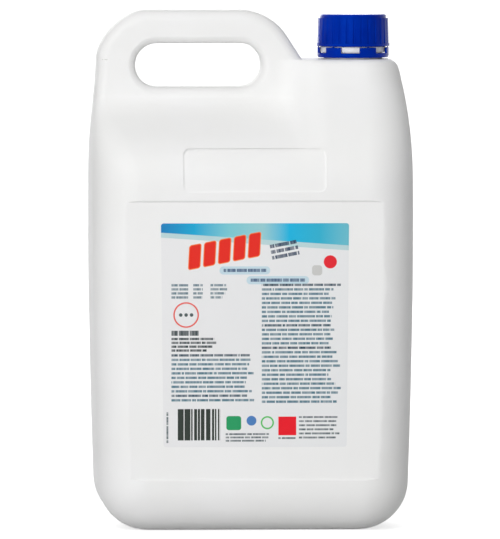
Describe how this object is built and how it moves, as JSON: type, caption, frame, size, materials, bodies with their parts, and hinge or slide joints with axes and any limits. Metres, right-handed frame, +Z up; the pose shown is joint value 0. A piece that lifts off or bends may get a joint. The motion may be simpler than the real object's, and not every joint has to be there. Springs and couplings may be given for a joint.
{
  "type": "bleach bottle",
  "caption": "Large white blow-moulded household bottle with an integral handle, a ribbed blue screw cap, a tamper band and a printed front label.",
  "frame": {"origin": "centre of the bottle's base, on the surface that it stands on", "axes": "+Z up, the label faces -Y, the cap is towards +X and the handle towards -X"},
  "size_m": [0.1906, 0.124, 0.3079],
  "materials": {
    "bottle_plastic": "satin white moulded polyethylene",
    "cap_plastic": "glossy blue moulded polypropylene",
    "wad_foam": "matt white foam",
    "label_film": "smooth printed film"
  },
  "bodies": {
    "bottle": {"bottle": "bottle_plastic", "tamper_band": "cap_plastic", "label": "label_film"},
    "wad": {"sealing_wad": "wad_foam"},
    "cap": {"cap": "cap_plastic"}
  },
  "joints": [
    {"name": "cap_lift", "type": "slide", "parent": "bottle", "child": "wad", "axis": [0, 0, 1], "range_m": [0, 0.021]},
    {"name": "cap_turn", "type": "hinge", "parent": "wad", "child": "cap", "pos_m": [0.06145, 0, 0.3], "axis": [0, 0, 1], "range_deg": [0, 1800]}
  ],
  "couplings": [
    {"joint": "cap_lift", "follows": "cap_turn", "m_per_rad": 0.00066845}
  ]
}
